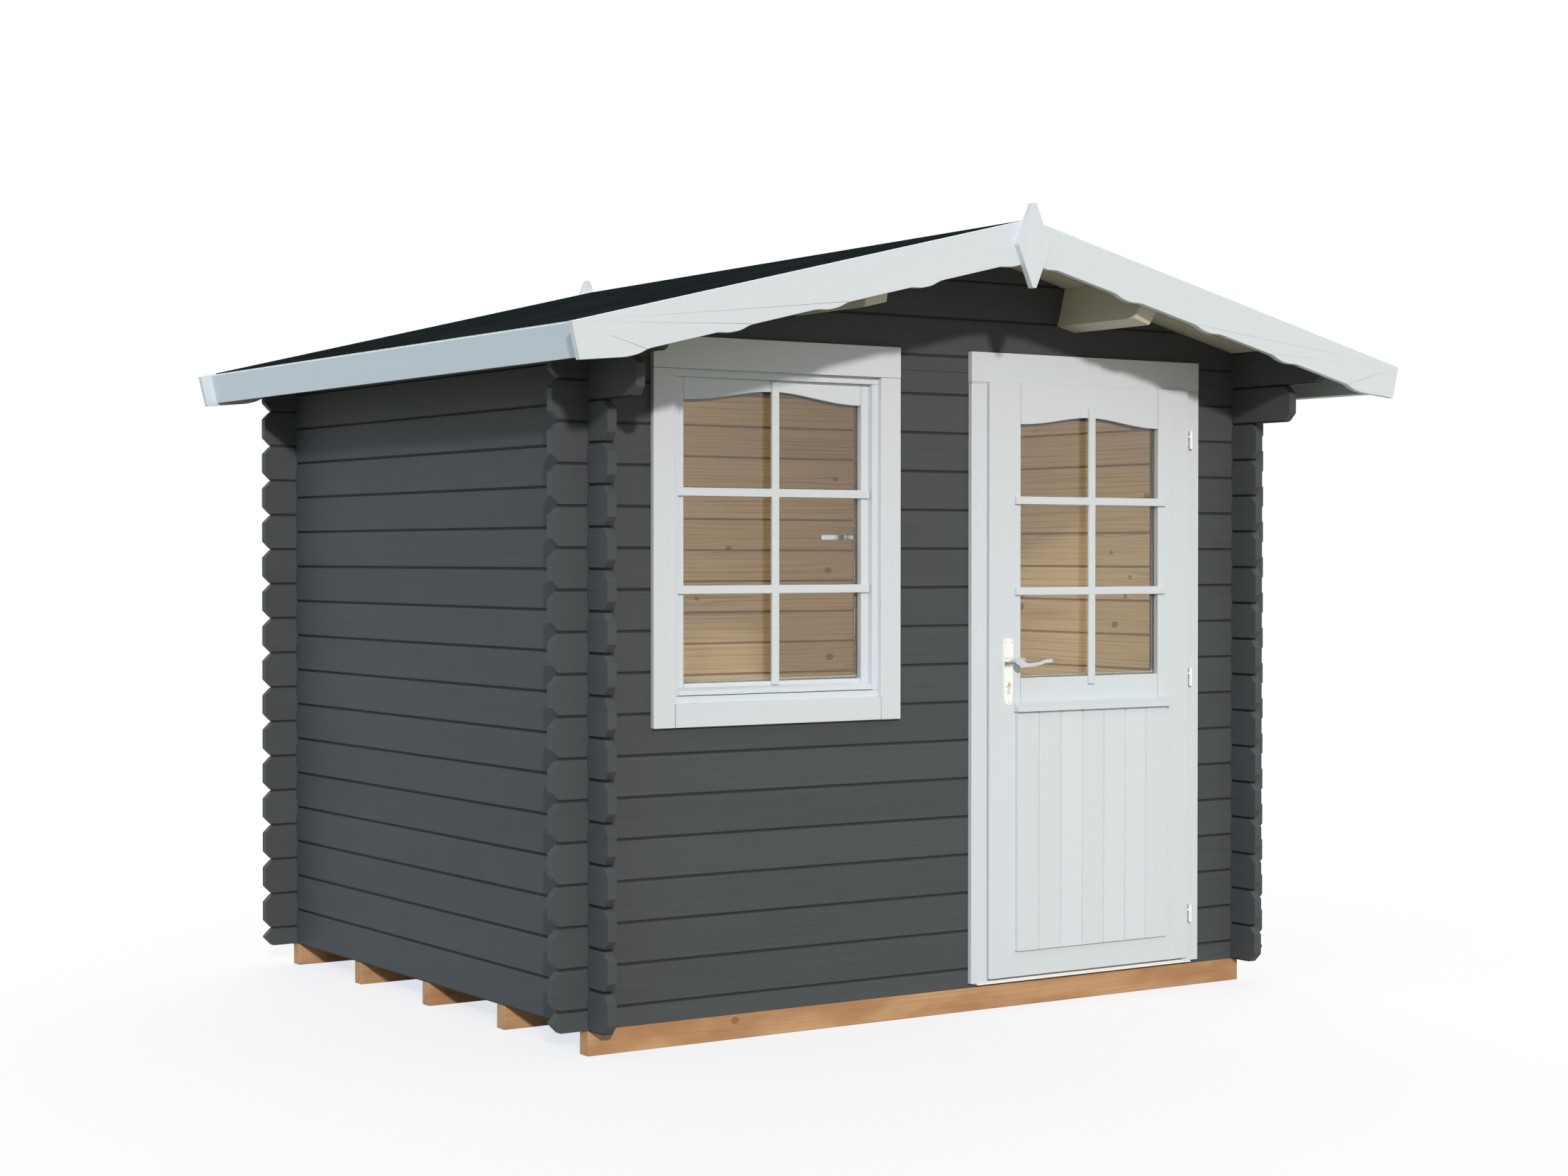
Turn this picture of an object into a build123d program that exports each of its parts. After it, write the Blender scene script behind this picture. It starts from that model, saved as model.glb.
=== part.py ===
from build123d import *
import math
import os

os.makedirs("parts", exist_ok=True)

# Garden shed of interlocking logs with a gable roof, a glazed door and one window.
# Millimetres. X runs along the front wall to the right, Y from the front to the rear, Z up.
# The origin is on the ground, below the centre of the roof's outline.

# Front wall, from its left corner to its right corner
window_from_left = 268
window_width = 700
window_to_door = 388
leaf_width = 790
door_from_right = 244

# Log walls
wall_depth = 1990
log_thickness = 28
log_pitch = 114
log_groove = 5
log_overrun = 110
log_end_chamfer = 26
side_courses = 17
bracket_overrun = 259
barge_clearance = 8

# Foundation joists and floor
joist_count = 5
joist_width = 45
joist_height = 70
floor_thickness = 18
floor_clearance = 2

# Roof
roof_pitch = 13.67
eave_reach = 282.5
front_overhang = 400
rear_overhang = 100
roof_board_thickness = 16
felt_thickness = 2.5
purlin_width = 70
purlin_height = 120
purlin_from_ridge = 515
purlin_end_cut = 60
purlin_end_rise = 110

# Barge boards, fascias and finials
barge_thickness = 20
barge_width = 120
barge_scallop = 8
barge_end_width = 100
nose_count = 4
nose_from_tip = 155
nose_from_ridge = 80
nose_flat = 36
nose_slope = 32
nose_radius = 90
fascia_thickness = 18
fascia_width = 92
fascia_set_back = 36
fascia_drop = 5
finial_height = 240
finial_width = 116
finial_tip = 13
finial_thickness = 20
finial_drop = 76

# Clearances between fitted pieces
seat = 0.2
wall_cut_gap = 2

# Casings and frames round the window and the door
head_drop = 130
casing_thickness = 18
head_board_height = 90
jamb_thickness = 30

# Window
window_height = 928
window_casing_width = 70
window_board_height = 66
frame_show = 20
frame_depth = 60
sash_recess = 18
sash_thickness = 40
sash_stile = 28
sash_gap = 0.3
sash_bottom_rail = 34
sash_top_rail = 62
sash_arch = 30
window_drip_depth = 22
window_drip_height = 22
window_drip_fall = 8
window_drip_nose = 4
window_drip_lap = 10
window_lever_plate = 64
window_lever_width = 24
window_lever_foot = 8
window_lever_stand = 34
window_lever_arm = 14
window_lever_arm_depth = 10
window_lever_reach = 110

# Glass and glazing bars
glass_thickness = 4
bar_width = 24
bar_thickness = 10
bar_lap = 24
window_bar_foot = 10
window_bar_head_gap = 4
window_top_pane_extra = 26
door_bar_head_lap = 57
door_top_pane_less = 6

# Door leaf
leaf_bottom = 24
leaf_over_head = 2
leaf_proud = 32
leaf_thickness = 41
leaf_lip = 9
lip_overlap = 12
latch_stile_width = 118
hinge_stile_width = 126
door_top_rail = 124
door_arch = 26
glass_over_drip = 73
bottom_rail = 78
panel_height = 720
panel_boards = 7
panel_thickness = 12
panel_margin = 97
panel_groove_width = 6
panel_groove = 4
drip_height = 28
drip_nose = 12
drip_margin = 6
drip_depth = 28

# Door frame and threshold
door_gap = 5
latch_gap = 7
jamb_depth = 62
stop_width = 14
door_casing_width = 57
casing_foot = 13
sill_height = 13
threshold_nose = 4

# Hinges
hinge_radius = 6
hinge_height = 56
hinge_reach = 16
hinge_bolt = 5
hinge_bolt_level = 8
hinge_pin_radius = 3
hinge_pin_clearance = 0.1
hinge_pin_short = 4
hinge_seat = 0.5
hinge_from_bottom = 140
hinge_from_top = 155

# Door handle
handle_level = 975
plate_width = 38
plate_foot_width = 29
plate_above = 67
plate_below = 133
plate_corner = 6
plate_thickness = 3
plate_gap = 2
neck_radius = 9.5
neck_clearance = 0.3
lever_reach = 132
lever_stand = 50
arm_thickness = 11
arm_height = 11
arm_root = 29
arm_root_drop = 4
arm_waist = 46
arm_dip = 11
arm_tip = 4
spindle = 8
spindle_hole = 16

# Derived places
wall_width = window_from_left + window_width + window_to_door + leaf_width + door_from_right
left_x = -wall_width / 2
right_x = wall_width / 2
roof_length = front_overhang + wall_depth + rear_overhang
front_y = -roof_length / 2 + front_overhang
rear_y = front_y + wall_depth
roof_front_y = front_y - front_overhang
roof_rear_y = rear_y + rear_overhang
base_z = joist_height
wall_top_z = base_z + side_courses * log_pitch
head_line_z = wall_top_z - head_drop
pitch_rad = math.radians(roof_pitch)
roof_stack = felt_thickness + roof_board_thickness
ridge_under_z = wall_top_z + (wall_width / 2 - log_thickness) * math.tan(pitch_rad)
ridge_z = ridge_under_z + roof_stack / math.cos(pitch_rad)
half_span = wall_width / 2 + eave_reach
ridge_along = half_span / math.cos(pitch_rad)
leaf_low_x = left_x + window_from_left + window_width + window_to_door
leaf_high_x = leaf_low_x + leaf_width
leaf_low_z = base_z + leaf_bottom
leaf_high_z = head_line_z + leaf_over_head
door_head_z = leaf_high_z - lip_overlap + door_gap
opening_top_z = door_head_z + jamb_thickness + wall_cut_gap


def slope_point(side, along, down):
    """Point (x, z) on a roof slope: along from the barge tip up the slope, down square to it."""
    tip_z = ridge_z - half_span * math.tan(pitch_rad)
    x = -half_span + along * math.cos(pitch_rad) + down * math.sin(pitch_rad)
    z = tip_z + along * math.sin(pitch_rad) - down * math.cos(pitch_rad)
    return (side * -x, z)


def ridge_point(down):
    """Point (x, z) at the ridge, down square to the slope."""
    return (0, ridge_z - down / math.cos(pitch_rad))


def polygon(points, mode=Mode.ADD):
    """Closed face through the points, in the open sketch."""
    Polygon(*points, align=None, mode=mode)


def box_between(low, high, mode=Mode.ADD):
    """Box from its low corner to its high corner, in the open part."""
    size = [b - a for a, b in zip(low, high)]
    middle = [(a + b) / 2 for a, b in zip(low, high)]
    with Locations(tuple(middle)):
        Box(*size, mode=mode)


def finish(part, name):
    """Label a finished piece and write its file."""
    part.part.label = name
    export_step(part.part, f"parts/{name}.step")


def log_section(face_a, face_b, joints, low, high_a, high_b):
    """Section of a stack of logs between two faces, with a V groove at each joint."""
    inward = math.copysign(log_groove, face_b - face_a)
    up = [(face_a, low)]
    for z in joints:
        if low + log_groove < z < high_a - log_groove:
            up += [(face_a, z - log_groove), (face_a + inward, z), (face_a, z + log_groove)]
    up.append((face_a, high_a))
    down = [(face_b, high_b)]
    for z in reversed(joints):
        if low + log_groove < z < high_b - log_groove:
            down += [(face_b, z + log_groove), (face_b - inward, z), (face_b, z - log_groove)]
    down.append((face_b, low))
    return up + down


def log_ends(courses, end, sign):
    """Chamfered ends of a stack of logs, upwards, at one end of a wall."""
    points = []
    for low, high, overrun in courses:
        tip = end + sign * overrun
        back = tip - sign * log_end_chamfer
        points += [(back, low), (tip, low + log_end_chamfer), (tip, high - log_end_chamfer), (back, high)]
    return points


def side_wall(side):
    """Left (-1) or right (1) wall: whole logs, with longer logs under the front overhang."""
    outer = side * wall_width / 2
    inner = outer - side * log_thickness
    front_runs = [log_overrun] * (side_courses - 2) + [bracket_overrun, front_overhang - barge_clearance]
    rear_runs = [log_overrun] * (side_courses - 1) + [rear_overhang - barge_clearance]
    levels = [base_z + k * log_pitch for k in range(side_courses + 1)]
    outer_top = wall_top_z - log_thickness * math.tan(pitch_rad)
    front = log_ends(list(zip(levels, levels[1:], front_runs)), front_y, -1)
    rear = log_ends(list(zip(levels, levels[1:], rear_runs)), rear_y, 1)
    with BuildPart() as wall:
        with BuildSketch(Plane.XZ.offset(-roof_rear_y)):
            polygon(log_section(outer, inner, levels, base_z, outer_top, wall_top_z))
        extrude(amount=roof_length)
        with BuildSketch(Plane.YZ.offset(min(outer, inner))):
            polygon(front + rear[::-1])
        extrude(amount=log_thickness, mode=Mode.INTERSECT)
        with Locations(*[
            ((outer + inner) / 2, y, z)
            for y in (front_y + log_thickness / 2, rear_y - log_thickness / 2)
            for z in levels
        ]):
            Box(log_thickness, log_thickness, log_pitch / 2, mode=Mode.SUBTRACT)
    return wall


def purlin_profile(side, grow=0.0):
    """Corners of a purlin's section, square to the roof slope, seated on the boards' underside."""
    middle = ridge_along - purlin_from_ridge / math.cos(pitch_rad)
    near, far = middle - purlin_width / 2 - grow, middle + purlin_width / 2 + grow
    top, bottom = roof_stack + seat, roof_stack + seat + purlin_height + grow
    return [slope_point(side, *p) for p in ((near, top), (far, top), (far, bottom), (near, bottom))]


def gable_wall(outer, inner, x_low, x_high, z_low, z_high, openings=()):
    """Piece of the front or rear wall, up to the roof boards, cut to a window or door."""
    levels = [base_z] + [base_z + (k + 0.5) * log_pitch for k in range(side_courses + 4)]
    courses = [(a, b, log_overrun) for a, b in zip(levels, levels[1:])]
    left = log_ends(courses, left_x, -1)
    right = log_ends(courses, right_x, 1)
    low_y, high_y = min(outer, inner), max(outer, inner)
    reach = half_span
    eave_z = ridge_under_z - reach * math.tan(pitch_rad)
    with BuildPart() as wall:
        with BuildSketch(Plane.YZ.offset(-reach)):
            polygon(log_section(low_y, high_y, levels, base_z, levels[-1], levels[-1]))
        extrude(amount=2 * reach)
        with BuildSketch(Plane.XZ.offset(-high_y)):
            polygon(left + right[::-1])
            peak = (0, ridge_under_z - seat)
            polygon([(-reach, 0), (-reach, eave_z), peak, (reach, eave_z), (reach, 0)], mode=Mode.INTERSECT)
            with Locations(((x_low + x_high) / 2, (z_low + z_high) / 2)):
                Rectangle(x_high - x_low, z_high - z_low, mode=Mode.INTERSECT)
            for low, high in openings:
                with Locations(((low[0] + high[0]) / 2, (low[1] + high[1]) / 2)):
                    Rectangle(high[0] - low[0], high[1] - low[1], mode=Mode.SUBTRACT)
        extrude(amount=log_thickness, mode=Mode.INTERSECT)
        corners = [
            (side * (wall_width - log_thickness) / 2, (outer + inner) / 2, z + log_pitch / 2)
            for side in (-1, 1)
            for z in [base_z + k * log_pitch for k in range(side_courses)]
            if x_low < side * (wall_width - log_thickness) / 2 < x_high
        ]
        notches = [c for c in corners if z_low - log_pitch < c[2] < z_high + log_pitch]
        if notches:
            with Locations(*notches):
                Box(log_thickness, log_thickness, log_pitch / 2, mode=Mode.SUBTRACT)
        if z_high > wall_top_z:
            with BuildSketch(Plane.XZ.offset(-high_y)):
                for side in (-1, 1):
                    polygon(purlin_profile(side, seat))
            extrude(amount=log_thickness, mode=Mode.SUBTRACT)
    return wall


# Foundation joists
joist_step = (wall_depth - joist_width) / (joist_count - 1)
for i in range(joist_count):
    y = front_y + i * joist_step
    with BuildPart() as joist:
        box_between((left_x, y, 0), (right_x, y + joist_width, joist_height))
    finish(joist, f"joist_{i + 1}")

# Floor between the walls
floor_inset = log_thickness + floor_clearance
with BuildPart() as floor:
    box_between((left_x + floor_inset, front_y + floor_inset, base_z),
                (right_x - floor_inset, rear_y - floor_inset, base_z + floor_thickness))
finish(floor, "floor")

# Side walls
left_wall = side_wall(-1)
finish(left_wall, "left_wall")
right_wall = side_wall(1)
finish(right_wall, "right_wall")

# Front wall, with the window's opening in its left piece and the doorway between its two pieces
casing_low = (left_x + window_from_left, head_line_z - window_height)
casing_high = (casing_low[0] + window_width, head_line_z)
frame_low = (casing_low[0] + frame_show, casing_low[1] + frame_show)
frame_high = (casing_high[0] - frame_show, casing_high[1] - frame_show)
frame_cut = jamb_thickness + wall_cut_gap
jamb_low_x = leaf_low_x + lip_overlap - latch_gap
jamb_high_x = leaf_high_x - lip_overlap + door_gap
door_low_x = jamb_low_x - frame_cut
door_high_x = jamb_high_x + frame_cut
front_in_y = front_y + log_thickness
front_left = gable_wall(
    front_y, front_in_y, -half_span, door_low_x, 0, opening_top_z,
    [([c - frame_cut for c in frame_low], [c + frame_cut for c in frame_high])],
)
finish(front_left, "front_wall_left")
front_right = gable_wall(front_y, front_in_y, door_high_x, half_span, 0, opening_top_z)
finish(front_right, "front_wall_right")
front_gable = gable_wall(front_y, front_in_y, -half_span, half_span, opening_top_z, ridge_z)
rear_wall = gable_wall(rear_y, rear_y - log_thickness, -half_span, half_span, 0, ridge_z)
finish(front_gable, "front_gable")
finish(rear_wall, "rear_wall")


# Purlins, carried by the two gables, with slanting ends under the overhangs
purlin_front_y, purlin_rear_y = roof_front_y + seat, roof_rear_y - seat
purlin_length = purlin_rear_y - purlin_front_y
for side, name in ((-1, "purlin_left"), (1, "purlin_right")):
    with BuildPart() as purlin:
        with BuildSketch(Plane.XZ.offset(-purlin_rear_y)):
            polygon(purlin_profile(side))
        extrude(amount=purlin_length)
        low_z = min(z for x, z in purlin_profile(side))
        with BuildSketch(Plane.YZ.offset(-half_span)):
            for end, inward in ((purlin_front_y, 1), (purlin_rear_y, -1)):
                cut_y = end + inward * purlin_end_cut
                polygon([(end, low_z - seat), (cut_y, low_z - seat), (end, low_z + purlin_end_rise)])
        extrude(amount=2 * half_span, mode=Mode.SUBTRACT)
    finish(purlin, name)

# Roof boards from the ridge to the fascias, and the felt over them
board_low = fascia_set_back + fascia_thickness + seat
for side, name in ((-1, "left"), (1, "right")):
    with BuildPart() as boards:
        with BuildSketch(Plane.XZ.offset(-roof_rear_y + seat)):
            polygon([
                slope_point(side, board_low, felt_thickness + seat),
                ridge_point(felt_thickness + seat),
                ridge_point(roof_stack),
                slope_point(side, board_low, roof_stack),
            ])
        extrude(amount=roof_length - 2 * seat)
    finish(boards, f"roof_boards_{name}")
    with BuildPart() as felt:
        with BuildSketch(Plane.XZ.offset(-roof_rear_y + seat)):
            polygon([
                slope_point(side, board_low, 0),
                ridge_point(0),
                ridge_point(felt_thickness),
                slope_point(side, board_low, felt_thickness),
            ])
        extrude(amount=roof_length - 2 * seat)
    finish(felt, f"roof_felt_{name}")
    with BuildPart() as fascia:
        with BuildSketch(Plane.XZ.offset(-roof_rear_y + seat)):
            polygon([
                slope_point(side, fascia_set_back, fascia_drop),
                slope_point(side, fascia_set_back + fascia_thickness, fascia_drop),
                slope_point(side, fascia_set_back + fascia_thickness, fascia_drop + fascia_width),
                slope_point(side, fascia_set_back, fascia_drop + fascia_width),
            ])
        extrude(amount=roof_length - 2 * seat)
    finish(fascia, f"fascia_{name}")


def barge_board(side, back_y):
    """Barge board: straight top, and a lower edge with a shallow rounded nose at each scallop."""
    between = barge_width - barge_scallop
    half = nose_flat / 2
    step = (ridge_along - nose_from_ridge - nose_from_tip) / nose_count
    noses = [slope_point(side, nose_from_tip - half, barge_width)]
    for k in range(nose_count):
        middle = nose_from_tip + k * step
        noses += [
            slope_point(side, middle + half, barge_width),
            slope_point(side, middle + half + nose_slope, between),
            slope_point(side, middle + step - half - nose_slope, between),
            slope_point(side, middle + step - half, barge_width),
        ]
    ridge_end = [ridge_point(barge_width), ridge_point(0)]
    tip_end = [slope_point(side, 0, 0), slope_point(side, 0, barge_end_width)]
    with BuildPart() as barge:
        with BuildSketch(Plane.XZ.offset(-back_y)) as outline:
            polygon(noses + ridge_end + tip_end)
            square = ridge_end + tip_end
            soft = [v for v in outline.vertices() if min(math.dist((v.X, v.Y), c) for c in square) > seat]
            fillet(soft, nose_radius)
        extrude(amount=barge_thickness)
    return barge


# Barge boards and finials at both gables
for end, outer_y, sign in (("front", roof_front_y, -1), ("rear", roof_rear_y, 1)):
    back_y = max(outer_y, outer_y + sign * barge_thickness)
    for side, name in ((-1, "left"), (1, "right")):
        finish(barge_board(side, back_y), f"barge_{end}_{name}")
    face_y = outer_y + sign * (barge_thickness + finial_thickness)
    finial_back = max(face_y, face_y - sign * finial_thickness)
    with BuildPart() as finial:
        with BuildSketch(Plane.XZ.offset(-finial_back)):
            mid_z = ridge_z - finial_drop
            polygon([
                (-finial_tip / 2, mid_z + finial_height / 2),
                (-finial_width / 2, mid_z),
                (-finial_tip / 2, mid_z - finial_height / 2),
                (finial_tip / 2, mid_z - finial_height / 2),
                (finial_width / 2, mid_z),
                (finial_tip / 2, mid_z + finial_height / 2),
            ])
        extrude(amount=finial_thickness)
    finish(finial, f"finial_{end}")


def ring_boards(low, high, width, top_width, bottom_width, y_back, thickness, gap):
    """Casing boards round an opening: full-width head, two sides and a board between them below."""
    with BuildPart() as casing:
        y_face = y_back - thickness
        box_between((low[0] - width, y_face, high[1]), (high[0] + width, y_back, high[1] + top_width))
        for x in (low[0] - width, high[0]):
            box_between((x, y_face, low[1] - bottom_width), (x + width, y_back, high[1] - gap))
        box_between((low[0] + gap, y_face, low[1] - bottom_width), (high[0] - gap, y_back, low[1]))
    return casing


# Window casing and frame
window_casing = ring_boards(
    casing_low, casing_high, window_casing_width, head_board_height, window_board_height,
    front_y, casing_thickness, seat,
)
finish(window_casing, "window_casing")
with BuildPart() as window_frame:
    frame_back_y = front_y + frame_depth
    for x in (frame_low[0] - jamb_thickness, frame_high[0]):
        box_between((x, front_y, frame_low[1] + seat),
                    (x + jamb_thickness, frame_back_y, frame_high[1] - seat))
    for z in (frame_low[1] - jamb_thickness, frame_high[1]):
        box_between((frame_low[0] - jamb_thickness, front_y, z),
                    (frame_high[0] + jamb_thickness, frame_back_y, z + jamb_thickness))
finish(window_frame, "window_frame")


def glass_light(low, high, rise, back_y, depth):
    """Prism of a glass opening with a shallow ogee arch at its top, from back_y forwards."""
    top_left = (low[0], high[1])
    crown = ((low[0] + high[0]) / 2, high[1] + rise)
    with BuildPart() as light:
        with BuildSketch(Plane.XZ.offset(-back_y)):
            with BuildLine():
                Polyline(top_left, low, (high[0], low[1]), high)
                Spline(high, crown, top_left, tangents=[(-1, 0), (-1, 0), (-1, 0)])
            make_face()
        extrude(amount=depth)
    return light.part


def glazing_bars(low, high, rise, back_y, upright_low, upright_high, top_pane_extra):
    """Applied cross of glazing bars: one upright and two rails over three panes in height."""
    middle = (low[0] + high[0]) / 2
    pane = (high[1] + rise - low[1] - 2 * bar_width - top_pane_extra) / 3
    with BuildPart() as bars:
        box_between((middle - bar_width / 2, back_y - bar_thickness, upright_low),
                    (middle + bar_width / 2, back_y, upright_high))
        for k in range(2):
            rail = low[1] + pane + k * (pane + bar_width)
            box_between((low[0] - bar_lap, back_y - bar_thickness, rail),
                        (high[0] + bar_lap, back_y, rail + bar_width))
    return bars


# Window sash with its glass, bars and drip
sash_y = front_y + sash_recess
sash_back_y = sash_y + sash_thickness
sash_low = (frame_low[0] + sash_gap, frame_low[1] + sash_gap)
sash_high = (frame_high[0] - sash_gap, frame_high[1] - sash_gap)
light_low = (sash_low[0] + sash_stile, sash_low[1] + sash_bottom_rail)
light_high = (sash_high[0] - sash_stile, sash_high[1] - sash_top_rail)
with BuildPart() as window_sash:
    box_between((sash_low[0], sash_y, sash_low[1]), (sash_high[0], sash_back_y, sash_high[1]))
    add(glass_light(light_low, light_high, sash_arch, sash_back_y, sash_thickness), mode=Mode.SUBTRACT)
finish(window_sash, "window_sash")
with BuildPart() as window_glass:
    add(glass_light((light_low[0] + seat, light_low[1] + seat), (light_high[0] - seat, light_high[1] - seat),
                    sash_arch, sash_y + sash_thickness / 2, glass_thickness))
finish(window_glass, "window_glass")
window_bars = glazing_bars(
    light_low, light_high, sash_arch, sash_y,
    light_low[1] - window_bar_foot, sash_high[1] - window_bar_head_gap, window_top_pane_extra,
)
finish(window_bars, "window_bars")
with BuildPart() as window_sill:
    drip_top = light_low[1] - window_drip_lap - seat
    drip_front_y = sash_y - window_drip_depth
    with BuildSketch(Plane.YZ.offset(sash_low[0])):
        polygon([
            (sash_y, drip_top),
            (drip_front_y + window_drip_nose, drip_top - window_drip_fall),
            (drip_front_y, drip_top - window_drip_height),
            (sash_y, drip_top - window_drip_height),
        ])
    extrude(amount=sash_high[0] - sash_low[0])
finish(window_sill, "window_sill")

# Lever on the inner face of the window's right stile
window_lever_x = sash_high[0] - sash_stile / 2
window_lever_z = (sash_low[1] + sash_high[1]) / 2
half_arm = window_lever_arm / 2
with BuildPart() as window_lever:
    box_between(
        (window_lever_x - window_lever_width / 2, sash_back_y, window_lever_z - window_lever_plate / 2),
        (window_lever_x + window_lever_width / 2, sash_back_y + window_lever_foot,
         window_lever_z + window_lever_plate / 2),
    )
    box_between(
        (window_lever_x - half_arm, sash_back_y + window_lever_foot, window_lever_z - half_arm),
        (window_lever_x + half_arm, sash_back_y + window_lever_stand, window_lever_z + half_arm),
    )
    box_between(
        (window_lever_x - window_lever_reach, sash_back_y + window_lever_stand - window_lever_arm_depth,
         window_lever_z - half_arm),
        (window_lever_x + half_arm, sash_back_y + window_lever_stand, window_lever_z + half_arm),
    )
finish(window_lever, "window_lever")

# Door casing: a full-width head and two sides
leaf_face_y = front_y - leaf_proud
leaf_back_y = leaf_face_y + leaf_thickness
lip_back_y = leaf_face_y + leaf_lip
casing_y = front_y - casing_thickness
casing_foot_z = base_z + casing_foot
casing_top_z = head_line_z + head_board_height
casing_low_x, casing_high_x = leaf_low_x - door_casing_width, leaf_high_x + door_casing_width
with BuildPart() as door_casing:
    box_between((casing_low_x, casing_y, door_head_z), (casing_high_x, front_y, casing_top_z))
    box_between((casing_low_x, casing_y, casing_foot_z), (jamb_low_x, front_y, door_head_z - seat))
    box_between((jamb_high_x, casing_y, casing_foot_z), (casing_high_x, front_y, door_head_z - seat))
finish(door_casing, "door_casing")

# Door frame: two jambs and a head, with stops behind the leaf
stop_y = leaf_back_y + door_gap
frame_foot_z = base_z + floor_thickness + seat
frame_in_y = front_y + jamb_depth
jamb_high_z = door_head_z - seat
stop_high_z = jamb_high_z - stop_width - seat
with BuildPart() as door_frame:
    for x, stop_x in (
        (jamb_low_x - jamb_thickness, jamb_low_x + seat),
        (jamb_high_x, jamb_high_x - stop_width - seat),
    ):
        box_between((x, front_y, frame_foot_z), (x + jamb_thickness, frame_in_y, jamb_high_z))
        box_between((stop_x, stop_y, frame_foot_z), (stop_x + stop_width, frame_in_y, stop_high_z))
    box_between((jamb_low_x - jamb_thickness, front_y, door_head_z),
                (jamb_high_x + jamb_thickness, frame_in_y, door_head_z + jamb_thickness))
    box_between((jamb_low_x + seat, stop_y, jamb_high_z - stop_width),
                (jamb_high_x - seat, frame_in_y, jamb_high_z))
finish(door_frame, "door_frame")

# Bare timber sill on the wall's bottom, and the white threshold over it between the casing's sides
with BuildPart() as door_sill:
    box_between((door_low_x, front_y, base_z), (door_high_x, front_in_y, base_z + sill_height))
finish(door_sill, "door_sill")
with BuildPart() as threshold:
    low_z, high_z = base_z + sill_height, base_z + floor_thickness
    box_between((jamb_low_x - jamb_thickness, front_y, low_z),
                (jamb_high_x + jamb_thickness, front_in_y, high_z))
    box_between((jamb_low_x, casing_y - threshold_nose, low_z), (jamb_high_x, front_y, high_z))
finish(threshold, "threshold")

# Door leaf with a lip all round
panel_low_z = leaf_low_z + bottom_rail
panel_high_z = panel_low_z + panel_height
door_light_low = (leaf_low_x + latch_stile_width, panel_high_z + drip_height + glass_over_drip)
door_light_high = (leaf_high_x - hinge_stile_width, leaf_high_z - door_top_rail)
panel_low_x, panel_high_x = leaf_low_x + panel_margin, leaf_high_x - panel_margin
handle_x = panel_low_x - drip_margin - plate_gap - plate_width / 2
handle_z = base_z + handle_level
with BuildPart() as door_leaf:
    box_between((leaf_low_x, leaf_face_y, leaf_low_z), (leaf_high_x, lip_back_y, leaf_high_z))
    box_between((leaf_low_x + lip_overlap, lip_back_y, leaf_low_z + lip_overlap),
                (leaf_high_x - lip_overlap, leaf_back_y, leaf_high_z - lip_overlap))
    light = glass_light(door_light_low, door_light_high, door_arch, leaf_back_y, leaf_thickness)
    add(light, mode=Mode.SUBTRACT)
    with Locations((handle_x, (leaf_face_y + leaf_back_y) / 2, handle_z)):
        Box(spindle_hole, leaf_thickness, spindle_hole, mode=Mode.SUBTRACT)
finish(door_leaf, "door_leaf")

# Door glass and its bars
with BuildPart() as door_glass:
    add(glass_light((door_light_low[0] + seat, door_light_low[1] + seat),
                    (door_light_high[0] - seat, door_light_high[1] - seat),
                    door_arch, leaf_face_y + leaf_thickness / 2, glass_thickness))
finish(door_glass, "door_glass")
door_bars = glazing_bars(
    door_light_low, door_light_high, door_arch, leaf_face_y,
    door_light_low[1] - bar_lap, door_light_high[1] + door_bar_head_lap, -door_top_pane_less,
)
finish(door_bars, "door_bars")

# Upright boards below, with a V joint between neighbours, and the drip rail over them
board_step = (panel_high_x - panel_low_x) / panel_boards
panel_face_y = leaf_face_y - panel_thickness
with BuildPart() as door_panel:
    with BuildSketch(Plane.XY.offset(panel_low_z)):
        outline = [(panel_low_x, leaf_face_y), (panel_low_x, panel_face_y)]
        for k in range(1, panel_boards):
            x = panel_low_x + k * board_step
            outline += [
                (x - panel_groove_width / 2, panel_face_y),
                (x, panel_face_y + panel_groove),
                (x + panel_groove_width / 2, panel_face_y),
            ]
        outline += [(panel_high_x, panel_face_y), (panel_high_x, leaf_face_y)]
        polygon(outline)
    extrude(amount=panel_height)
finish(door_panel, "door_panel")
with BuildPart() as door_drip:
    low = panel_high_z + seat
    with BuildSketch(Plane.YZ.offset(panel_low_x - drip_margin)):
        polygon([
            (leaf_face_y, low),
            (leaf_face_y - drip_depth, low),
            (leaf_face_y - drip_depth, low + drip_nose),
            (leaf_face_y, low + drip_height),
        ])
    extrude(amount=panel_high_x - panel_low_x + 2 * drip_margin)
finish(door_drip, "door_drip")

# Handle plates on both faces: tapered, with a rounded foot and a hole for the lever's spindle
foot_z = handle_z - plate_below + plate_foot_width / 2
top_z = handle_z + plate_above
with BuildPart() as door_plates:
    for y in (leaf_face_y, leaf_back_y + plate_thickness):
        with BuildSketch(Plane.XZ.offset(-y)):
            with BuildLine():
                foot_left = (handle_x - plate_foot_width / 2, foot_z)
                foot_right = (handle_x + plate_foot_width / 2, foot_z)
                ThreePointArc(foot_left, (handle_x, handle_z - plate_below), foot_right)
                Polyline(
                    foot_right,
                    (handle_x + plate_width / 2, top_z - plate_corner),
                    (handle_x + plate_width / 2 - plate_corner, top_z),
                    (handle_x - plate_width / 2 + plate_corner, top_z),
                    (handle_x - plate_width / 2, top_z - plate_corner),
                    foot_left,
                )
            make_face()
            with Locations((handle_x, handle_z)):
                Rectangle(spindle_hole, spindle_hole, mode=Mode.SUBTRACT)
        extrude(amount=plate_thickness)
finish(door_plates, "door_plates")

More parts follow.
